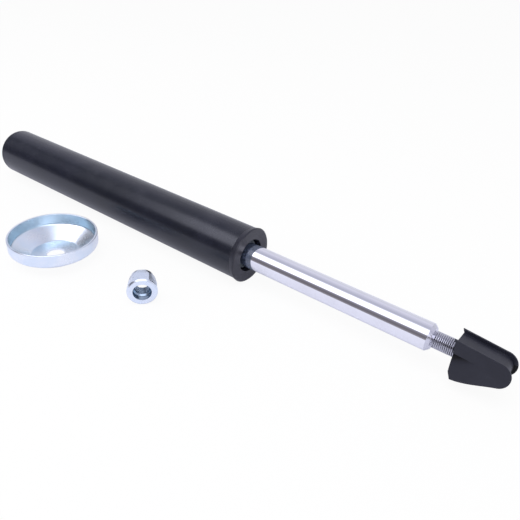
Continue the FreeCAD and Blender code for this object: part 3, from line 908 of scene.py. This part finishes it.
@dataclass
class ValveGroup:
    """The pressure tube, the base valve and the piston's valves.

    Attributes:
        gland: The gland, whose steels are used here too.
        zinc: The small fasteners' plating.
        band: The piston band's plastic.
        bumper: The rebound bumper's plastic.
        folding: The star springs' nodes, bodies, plate joints, and held sides along X.
        folded: The share of its height that a spring keeps when it is pressed flat; not used.
    """

    gland: GlandGroup
    zinc: Finish = ZincPlate(
        "fastener_zinc", (0.78, 0.82, 0.88), 0.3, Wear.HIDDEN)
    band: Finish = Moulded(
        "sliding_plastic", (0.16, 0.11, 0.07), 0.45, Wear.HIDDEN)
    bumper: Finish = Moulded(
        "bumper_plastic", (0.62, 0.56, 0.44), 0.5, Wear.HIDDEN)
    folding: tuple[tuple[str, str, str, float], ...] = (
        ("base_check_spring", "insert", "base_plate_lift", 0.0218),
        ("piston_check_spring", "rod", "piston_plate_lift", 0.2272))
    folded: float = 0.27

    def build(self) -> None:
        """Dresses every inner piece."""
        for finish, nodes in (
            (self.gland.steel,
             ("pressure_tube", "rebound_stop", "lift_washer", "piston_spacer", "valve_support")),
            (self.gland.spring,
             ("base_check_plate", "base_valve_discs", "piston_check_plate", "rebound_valve_discs")),
            (self.gland.iron, ("base_valve_body", "piston")),
            (self.zinc, ("base_valve_nut", "piston_nut")),
            (self.band, ("piston_band",)), (self.bumper, ("rebound_bumper",)),
        ):
            for node in nodes:
                Shop.dress_node(node, finish)
        ValveBolt().build(self.zinc)
        for node, body, joint, seat in self.folding:
            self.star(node, body, joint, seat)

    def star(self, node: str, body: str, joint: str, seat: float) -> None:
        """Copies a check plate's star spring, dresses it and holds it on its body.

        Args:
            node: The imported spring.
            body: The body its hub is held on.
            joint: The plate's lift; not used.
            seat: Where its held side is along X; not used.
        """
        star = Shop.copy_of(node, "pressed_" + node)
        Shop.coat(star, self.gland.spring)
        Shop.smooth(star, 20.0)
        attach(star, body)
        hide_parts(node)
        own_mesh(star)
        LOG.info("%s has %d faces", star.name, len(star.data.polygons))


@dataclass
class RodGroup:
    """The chromed rod, whose shoulder moves out and whose stud and tail get their threads here.

    Attributes:
        thread: The thread's form.
        grooves: For each thread its cutter's name, its start along X and its turns.
        tail_end: Where the tail's thread ends along X.
        shoulder: The shoulder's rings from the stud down: place along X and radius, in the solid and here.
        chrome: The rod's chrome.
        bare: The threads' steel.
        turned: The shoulder's steel.
    """

    thread: ThreadForm = ThreadForm()
    grooves: tuple[tuple[str, float, int], ...] = (("stud_groove", 0.4697, 22), ("tail_groove", 0.1969, 9))
    tail_end: float = 0.2072
    shoulder: tuple[tuple[float, float, float, float], ...] = (
        (0.4677, 0.0060, 0.4694, 0.0060), (0.4669, 0.0052, 0.4690, 0.0052), (0.4669, 0.0051, 0.4690, 0.0051),
        (0.4645, 0.0051, 0.4685, 0.0051), (0.4645, 0.0088, 0.4685, 0.0078), (0.4633, 0.0100, 0.4660, 0.0100))
    chrome: Finish = HardChrome("hard_chrome", (0.9, 0.9, 0.93), 0.055)
    bare: Finish = WorkedSteel(
        "rolled_thread", (0.62, 0.62, 0.68), 0.27, Wear.NEW, rings=0.3, stain=(0.3, 0.29, 0.3))
    turned: Finish = WorkedSteel(
        "turned_shoulder", (0.74, 0.74, 0.8), 0.24, Wear.NEW, rings=0.8, stain=(0.5, 0.49, 0.5))

    def build(self) -> None:
        """Moves the shoulder in a copy of the rod, cuts its threads and dresses it."""
        rod = Shop.copy_of("piston_rod", "threaded_rod")
        for x, radius, new_x, new_radius in self.shoulder:
            Shop.move_ring(rod, (x, radius), (new_x, new_radius))
        for name, start, turns in self.grooves:
            Shop.cut(rod, self.thread.cutter(name, start, turns, True))
        rod.data.materials.clear()
        for finish in (self.chrome, self.bare, self.turned):
            rod.data.materials.append(finish.material())
        chrome_end, face = self.shoulder[-1][2], self.shoulder[3][2]
        for polygon in rod.data.polygons:
            x = polygon.center.x
            if x > face + SLACK or x < self.tail_end:
                polygon.material_index = 1
            else:
                polygon.material_index = 2 if x > chrome_end else 0
        Shop.smooth(rod, 32.0)
        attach(rod, "rod")
        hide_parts("piston_rod")
        LOG.info("threaded_rod has %d faces", len(rod.data.polygons))


@dataclass
class ValveBolt:
    """The base valve's bolt, whose thread is cut here."""

    thread: ThreadForm = ThreadForm(0.006, 0.001, 0.00058)
    start: float = 0.00375
    turns: int = 7

    def build(self, finish: Finish) -> None:
        """Cuts the thread in a copy of the bolt and dresses it.

        Args:
            finish: The bolt's finish.
        """
        bolt = Shop.copy_of("base_valve_bolt", "threaded_bolt")
        Shop.cut(bolt, self.thread.cutter("bolt_groove", self.start, self.turns, True))
        Shop.coat(bolt, finish)
        Shop.smooth(bolt, 32.0)
        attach(bolt, "insert")
        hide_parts("base_valve_bolt")
        LOG.info("threaded_bolt has %d faces", len(bolt.data.polygons))


@dataclass
class CapGroup:
    """The moulded strap cap on the stud, whose two side scoops get a hollowed floor here.

    Attributes:
        start: The cap's own place along X; its sizes below are counted from there.
        turn: How far the cap is turned about X, in degrees.
        face: How far the plates' outer faces are from the cap's middle.
        corner: The deepest corner of a scoop's flat floor: along X, out from the middle, and up the plate.
        low: The floor's lowest corner along X and up the plate, flush with the face.
        nose: The floor's corner towards the nose, flush with the face too.
        depth: How deep the hollow is under its step at the mouth.
        rows: Into how many rows the floor is divided.
        plastic: The moulded plastic, painted darker in the scoops as painted shade.
    """

    start: float = 0.484
    turn: float = -9.9
    face: float = 0.01045
    corner: Place = (0.00047, 0.00804, 0.0018)
    low: tuple[float, float] = (0.00124, -0.00974)
    nose: tuple[float, float] = (0.0195, 0.0005)
    depth: float = 0.003
    rows: int = 12
    # The plastic's pocket paints the scoops darker than the rest of the cap: painted shade.
    plastic: Finish = Moulded(
        "cap_plastic", (0.015, 0.0158, 0.026), 0.36, Wear.NEW, grain_depth=2.0e-6, gloss=0.35,
        shade_pocket=(face, 0.002), turn=-turn)

    def build(self) -> None:
        """Hollows both scoops of the cap and dresses it."""
        cap = Shop.copy_of("strap_cap", "scooped_cap")
        for side in (-1, 1):
            self.hollow(cap, side)
        Shop.coat(cap, self.plastic)
        Shop.smooth(cap, 24.0)
        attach(cap, "cap")
        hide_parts("strap_cap")
        LOG.info("scooped_cap has %d faces", len(cap.data.polygons))

    def hollow(self, cap: bpy.types.Object, side: int) -> None:
        """Divides a scoop's flat floor into rows and bends them, steep under the step and flat at the plate.

        Args:
            cap: The cap's copy.
            side: Which plate, as a sign along Y.
        """
        turn = Matrix.Rotation(math.radians(self.turn), 3, "X")
        drop = self.face - self.corner[1]

        def own(point: Vector) -> Vector:
            return turn.inverted() @ (point - Vector((self.start, 0.0, 0.0)))

        places = [Vector((self.corner[0], side * self.corner[1], self.corner[2])),
                  Vector((self.low[0], side * self.face, self.low[1])),
                  Vector((self.nose[0], side * self.face, self.nose[1]))]
        Shop.enter_at(cap, lambda point: any((own(point.co) - place).length < NEAR for place in places))
        bpy.ops.mesh.subdivide(number_cuts=self.rows - 1, quadcorner="STRAIGHT_CUT")
        Shop.leave()
        level = (places[1] - places[0]).cross(places[2] - places[0]).normalized()
        floor = [(vertex.index, (self.face - abs(own(vertex.co).y)) / drop) for vertex in cap.data.vertices
                 if abs((own(vertex.co) - places[0]).dot(level)) < FLAT
                 and places[0].x - SLACK < own(vertex.co).x < places[2].x + SLACK]
        for row in range(1, self.rows + 1):
            share = row / self.rows
            members = {index for index, part in floor if abs(part - share) < 0.3 / self.rows}
            Shop.enter_at(cap, lambda point: point.index in members)
            away = side * (drop * share - self.depth * share ** 2)
            bpy.ops.transform.translate(value=turn @ Vector((0.0, away, 0.0)))
            Shop.leave()


@dataclass
class LoosePieces:
    """The dished washer and the flanged nut that lie beside the insert."""

    washer_centre: Place = (0.1684, -0.0805, -0.0231)
    nut_bore: Place = (0.267577, -0.073505, -0.01155)
    nut_axis: Place = (0.7277728, -0.6858184, 0.0)
    nut_thread: ThreadForm = ThreadForm(depth=0.00055)
    nut_start: float = -0.0045
    nut_turns: int = 8
    # Between the radii core and bore the washer is painted darker and bluer: painted shade in the bend between
    # its wall and floor.
    washer: Finish = ZincPlate(
        "washer_zinc", (0.92, 0.97, 1.0), 0.27, Wear.NEW, centre=washer_centre,
        turn=(0.0, math.radians(90), 0.0), rings=1800.0, bore=0.03445, core=0.03375, shade_tint=(0.62, 0.76, 0.83))

    def build(self) -> None:
        """Dresses the washer, and cuts the nut's thread and dresses it."""
        Shop.dress_node("dished_washer", self.washer)
        self.nut()

    def nut(self) -> None:
        """Cuts the thread in a copy of the nut and dresses it."""
        nut = Shop.copy_of("flange_nut", "threaded_nut")
        tool = self.nut_thread.cutter("nut_groove", self.nut_start, self.nut_turns, False)
        axis = Vector(self.nut_axis).normalized()
        tool.rotation_euler = Vector((1, 0, 0)).rotation_difference(axis).to_euler("XYZ")
        tool.location = self.nut_bore
        Shop.pick(tool)
        bpy.ops.object.transform_apply(location=True, rotation=True, scale=True)
        Shop.cut(nut, tool)
        turn = axis.rotation_difference(Vector((1, 0, 0))).to_euler("XYZ")
        # The nut's bore is painted darker and bluer than its outside: painted shade inside the hole.
        Shop.coat(nut, ZincPlate(
            "nut_zinc", (0.9, 0.95, 1.0), 0.22, Wear.HANDLED, centre=self.nut_bore, turn=tuple(turn),
            bore=0.00715))
        Shop.smooth(nut, 32.0)
        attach(nut, "nut")
        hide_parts("flange_nut")
        LOG.info("threaded_nut has %d faces", len(nut.data.polygons))


@dataclass
class Studio:
    """Floor, light and camera.

    Attributes:
        floor_z: The floor's height.
        eye: The camera's place.
        pitch: How far it looks down, in degrees.
        yaw: How far it is turned about Z, in degrees.
        roll: How far it leans, in degrees.
        focal_pixels: Its focal length in the photograph's pixels.
        frame_pixels: The photograph's width.
        plain: The surroundings' strength as plain light.
        skies: Overhead strength and low strength of each sky, from the base's side to the rod's.
        bounds: The X directions between which one sky changes into the next.
    """

    floor_z: float = -0.0231
    eye: Place = (0.5319, -0.2995, 0.2335)
    pitch: float = 32.66
    yaw: float = 34.79
    roll: float = 3.91
    focal_pixels: float = 545.8
    frame_pixels: int = 520
    plain: float = 0.62
    skies: tuple[tuple[float, float], ...] = ((0.3, 0.6), (4.6, 0.6), (1.9, 1.0))
    bounds: tuple[tuple[float, float], ...] = ((-0.67, -0.53), (-0.52, -0.49))

    def build(self) -> None:
        """Sets the floor, the surroundings, the lamps and the camera."""
        self.floor()
        self.surroundings()
        self.lamps()
        self.camera()
        bpy.context.scene.view_settings.view_transform = "Standard"

    def floor(self) -> None:
        """Lays a pale floor that looks white to the camera and keeps a faint shadow."""
        Shop.clear()
        bpy.ops.mesh.primitive_plane_add(size=12.0, location=(0.2, 0.0, self.floor_z))
        floor = bpy.context.object
        floor.name = "studio_floor"
        bpy.ops.object.transform_apply(location=True, rotation=True, scale=True)
        material = bpy.data.materials.new("pale_floor")
        material.use_nodes = True
        material.node_tree.nodes.clear()
        board = Board(material.node_tree)
        diffuse = self.even(board, "ShaderNodeBsdfDiffuse", (0.86, 0.86, 0.88))
        white = self.even(board, "ShaderNodeEmission", (1.0, 1.0, 1.0))
        cool = self.even(board, "ShaderNodeBsdfDiffuse", (0.8, 0.81, 0.95))
        glow = self.even(board, "ShaderNodeEmission", (0.74, 0.75, 0.88))
        seen, mirrored = self.mix(board, 0.93, diffuse, white), self.mix(board, 0.4, cool, glow)
        total = self.by_ray(board, seen, mirrored, diffuse)
        output = board.add("ShaderNodeOutputMaterial")
        board.feed(output, "Surface", total.outputs[0])
        floor.data.materials.append(material)

    @staticmethod
    def mix(board: Board, factor: object, first: bpy.types.Node, second: bpy.types.Node) -> bpy.types.Node:
        """Mixes two shaders.

        Args:
            board: The board to add to.
            factor: The share of the second.
            first: The first shader's node.
            second: The second shader's node.

        Returns:
            The Mix Shader node.
        """
        node = board.add("ShaderNodeMixShader")
        board.feed(node, 0, factor)
        board.feed(node, 1, first.outputs[0])
        board.feed(node, 2, second.outputs[0])
        return node

    @staticmethod
    def even(board: Board, kind: str, colour: object, strength: float = 1.0) -> bpy.types.Node:
        """Adds a shader of one colour.

        Args:
            board: The board to add to.
            kind: The shader's type.
            colour: Its colour, or a socket with one.
            strength: Its strength, where it gives light.

        Returns:
            The shader's node.
        """
        node = board.add(kind)
        board.feed(node, "Color", colour)
        if "Strength" in node.inputs:
            board.feed(node, "Strength", strength)
        return node

    def by_ray(self, board: Board, seen: bpy.types.Node, mirrored: bpy.types.Node,
               lit: bpy.types.Node) -> bpy.types.Node:
        """Shows one shader to the camera, one to reflections and one to all other light.

        Args:
            board: The board to add to.
            seen: What the camera sees.
            mirrored: What reflections and glass see.
            lit: What everything else gets.

        Returns:
            The node that joins them.
        """
        rays = board.add("ShaderNodeLightPath").outputs
        glossy = board.math("MAXIMUM", rays[Ray.GLOSSY.value], rays[Ray.TRANSMISSION.value])
        return self.mix(board, rays[Ray.CAMERA.value], self.mix(board, glossy, lit, mirrored), seen)

    def surroundings(self) -> None:
        """Surrounds the set with white for the camera, a plain level for light, and a studio's strips for
        reflections: a soft light overhead, a dark gap towards the viewer and a pale wall behind."""
        world = bpy.data.worlds.new("studio")
        bpy.context.scene.world = world
        world.use_nodes = True
        world.node_tree.nodes.clear()
        board = Board(world.node_tree)
        axes = board.split(board.add("ShaderNodeTexCoord").outputs["Generated"])
        angle = board.math("ARCTAN2", axes["Z"], board.math("MULTIPLY", axes["Y"], -1.0))
        turn = board.math("DIVIDE", angle, math.pi)
        strips, *others = [board.ramp(turn, self.strips(light, gap)) for light, gap in self.skies]
        for (low, high), other in zip(self.bounds, others):
            strips = board.blend(board.span(axes["X"], low, high), strips, other)
        plain = self.even(board, "ShaderNodeBackground", (1.0, 1.0, 1.0), self.plain)
        mirrored = self.even(board, "ShaderNodeBackground", strips)
        white = self.even(board, "ShaderNodeBackground", (1.0, 1.0, 1.0))
        total = self.by_ray(board, white, mirrored, plain)
        output = board.add("ShaderNodeOutputWorld")
        board.feed(output, "Surface", total.outputs[0])

    @staticmethod
    def strips(light: float, gap: float) -> Sequence[tuple[float, Colour]]:
        """The reflected strips by height above the horizon towards the viewer, from 0 to half a turn.

        Args:
            light: The overhead light's strength.
            gap: The strength of everything below the light, where 1 is the plain studio.

        Returns:
            Ramp stops from 0, level towards the viewer, through 0.5, overhead, to 1, level behind.
        """
        low = (
            (0.0, (0.36, 0.34, 0.38)), (0.03, (0.25, 0.235, 0.27)), (0.09, (0.165, 0.155, 0.18)),
            (0.15, (0.2, 0.19, 0.23)), (0.205, (0.3, 0.29, 0.34)))
        lamp = (0.92 * light, 0.93 * light, 1.08 * light)
        high = (
            (0.25, lamp), (0.43, lamp), (0.475, tuple(0.42 * c for c in lamp)),
            (0.525, (0.47, 0.48, 0.58)), (0.6, (0.54, 0.55, 0.68)), (0.67, (0.63, 0.63, 0.76)),
            (0.76, (0.74, 0.74, 0.87)), (0.86, (0.67, 0.68, 0.79)), (1.0, (0.8, 0.8, 0.85)))
        return tuple((stop, tuple(gap * c for c in colour)) for stop, colour in low) + high

    def lamps(self) -> None:
        """Hangs one wide soft lamp above and in front, and a weaker one at the side."""
        for name, place, size, power in (
            ("overhead_soft", (0.35, -0.35, 1.1), 0.9, 7.0),
            ("side_soft", (-0.7, -0.6, 0.7), 0.7, 3.0),
        ):
            data = bpy.data.lights.new(name, "AREA")
            data.shape = "SQUARE"
            data.size = size
            data.energy = power
            lamp = bpy.data.objects.new(name, data)
            bpy.context.scene.collection.objects.link(lamp)
            lamp.location = place
            lamp.rotation_euler = (Vector((0.25, 0, 0)) - Vector(place)).to_track_quat("-Z", "Y").to_euler()
            lamp.visible_glossy = False

    def camera(self) -> None:
        """Sets the camera at the photograph's place."""
        pitch, yaw, roll = (math.radians(a) for a in (self.pitch, self.yaw, self.roll))
        ahead = Vector((-math.sin(yaw) * math.cos(pitch), math.cos(yaw) * math.cos(pitch), -math.sin(pitch)))
        level = Vector((math.cos(yaw), math.sin(yaw), 0.0))
        above = level.cross(ahead)
        right = math.cos(roll) * level + math.sin(roll) * above
        up = math.cos(roll) * above - math.sin(roll) * level
        data = bpy.data.cameras.new("viewpoint")
        data.sensor_width = 36.0
        data.lens = self.focal_pixels / self.frame_pixels * data.sensor_width
        data.clip_start, data.clip_end = 0.01, 50.0
        eye = bpy.data.objects.new("viewpoint", data)
        bpy.context.scene.collection.objects.link(eye)
        turn = Matrix((right, up, -ahead)).transposed().to_4x4()
        eye.matrix_world = Matrix.Translation(Vector(self.eye)) @ turn
        bpy.context.scene.camera = eye


def main() -> None:
    """Builds every group in order, then the studio."""
    logging.basicConfig(level=logging.INFO, format="%(name)s: %(message)s")
    gland = GlandGroup()
    for group in (TubeGroup(), gland, ValveGroup(gland), RodGroup(), CapGroup(), LoosePieces(), Studio()):
        group.build()
        LOG.info("%s is done", type(group).__name__)


if __name__ == "__main__":
    main()
